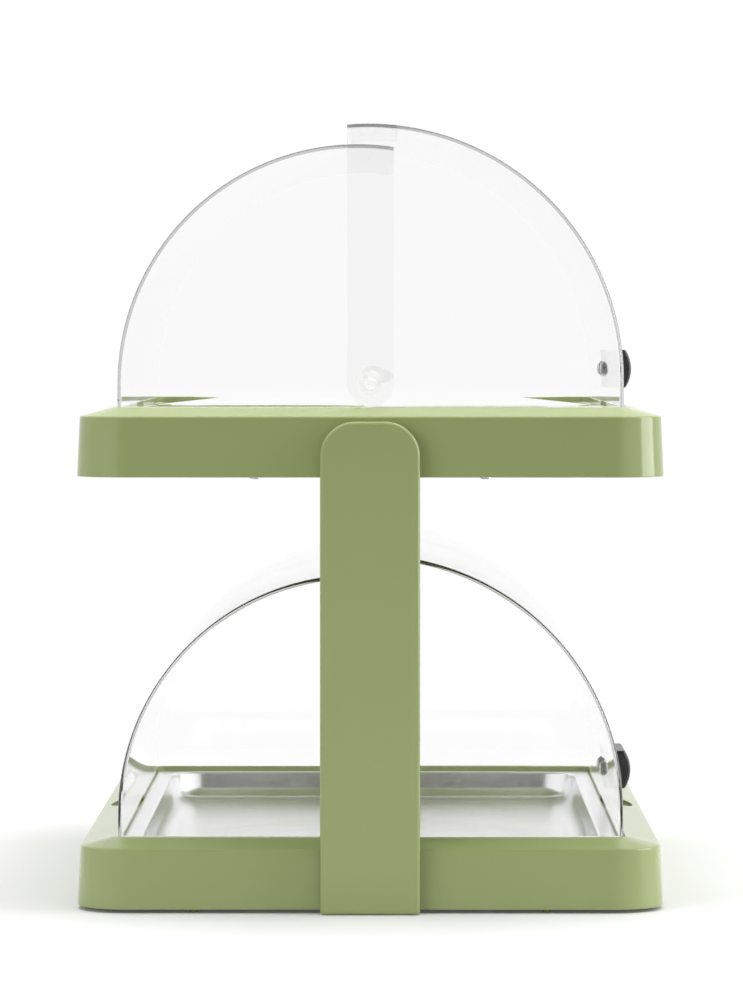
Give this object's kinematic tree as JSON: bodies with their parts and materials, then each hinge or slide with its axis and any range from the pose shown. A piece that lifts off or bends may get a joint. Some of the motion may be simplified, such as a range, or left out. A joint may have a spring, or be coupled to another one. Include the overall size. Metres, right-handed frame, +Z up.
{
  "type": "refrigerated buffet display",
  "caption": "Tiered cold buffet display: moulded bases with ice packs under steel food trays, clear roll-top lids on pivots, held one above the other by end posts.",
  "frame": {"origin": "on the floor under the middle of the display", "axes": "+Z up, +X towards the side where the lids open, Y along the long side between the posts"},
  "size_m": [0.3832, 0.6096, 0.5123],
  "materials": {
    "green_plastic": "satin sage green moulding",
    "liner_plastic": "matt green moulding",
    "ice_pack_plastic": "translucent pale blue, matt",
    "tray_steel": "fine satin stainless steel",
    "clear_cover": "clear polycarbonate, polished",
    "clear_pin": "clear polycarbonate",
    "black_plastic": "satin charcoal",
    "screw_steel": "plain stainless steel"
  },
  "bodies": {
    "frame": {"lower_base_shell": "green_plastic", "lower_well_liner": "liner_plastic", "lower_bottom_plate": "green_plastic", "lower_plate_screws": "screw_steel", "lower_near_ice_pack": "ice_pack_plastic", "lower_far_ice_pack": "ice_pack_plastic", "lower_food_tray": "tray_steel", "lower_post_screws": "screw_steel", "upper_base_shell": "green_plastic", "upper_well_liner": "liner_plastic", "upper_bottom_plate": "green_plastic", "upper_plate_screws": "screw_steel", "upper_near_ice_pack": "ice_pack_plastic", "upper_far_ice_pack": "ice_pack_plastic", "upper_food_tray": "tray_steel", "upper_post_screws": "screw_steel", "near_post": "green_plastic", "far_post": "green_plastic", "near_post_back": "green_plastic", "far_post_back": "green_plastic"},
    "lower_cover": {"lower_rear_cover": "clear_cover", "lower_near_pivot_pin": "clear_pin", "lower_far_pivot_pin": "clear_pin", "lower_near_pivot_retainer": "clear_pin", "lower_far_pivot_retainer": "clear_pin"},
    "lower_lid": {"lower_front_lid": "clear_cover", "lower_lid_handle": "black_plastic", "lower_handle_screws": "screw_steel", "lower_handle_washers": "screw_steel"},
    "upper_cover": {"upper_rear_cover": "clear_cover", "upper_near_pivot_pin": "clear_pin", "upper_far_pivot_pin": "clear_pin", "upper_near_pivot_retainer": "clear_pin", "upper_far_pivot_retainer": "clear_pin"},
    "upper_lid": {"upper_front_lid": "clear_cover", "upper_lid_handle": "black_plastic", "upper_handle_screws": "screw_steel", "upper_handle_washers": "screw_steel"}
  },
  "joints": [
    {"name": "lower_cover_lift", "type": "slide", "parent": "frame", "child": "lower_cover", "axis": [0, 0, 1], "range_m": [0, 0.03]},
    {"name": "lower_lid_swing", "type": "hinge", "parent": "lower_cover", "child": "lower_lid", "pos_m": [0, 0, 0.0627], "axis": [0, -1, 0], "range_deg": [0, 90]},
    {"name": "upper_cover_lift", "type": "slide", "parent": "frame", "child": "upper_cover", "axis": [0, 0, 1], "range_m": [0, 0.15]},
    {"name": "upper_lid_swing", "type": "hinge", "parent": "upper_cover", "child": "upper_lid", "pos_m": [0, 0, 0.3432], "axis": [0, -1, 0], "range_deg": [0, 90]}
  ]
}
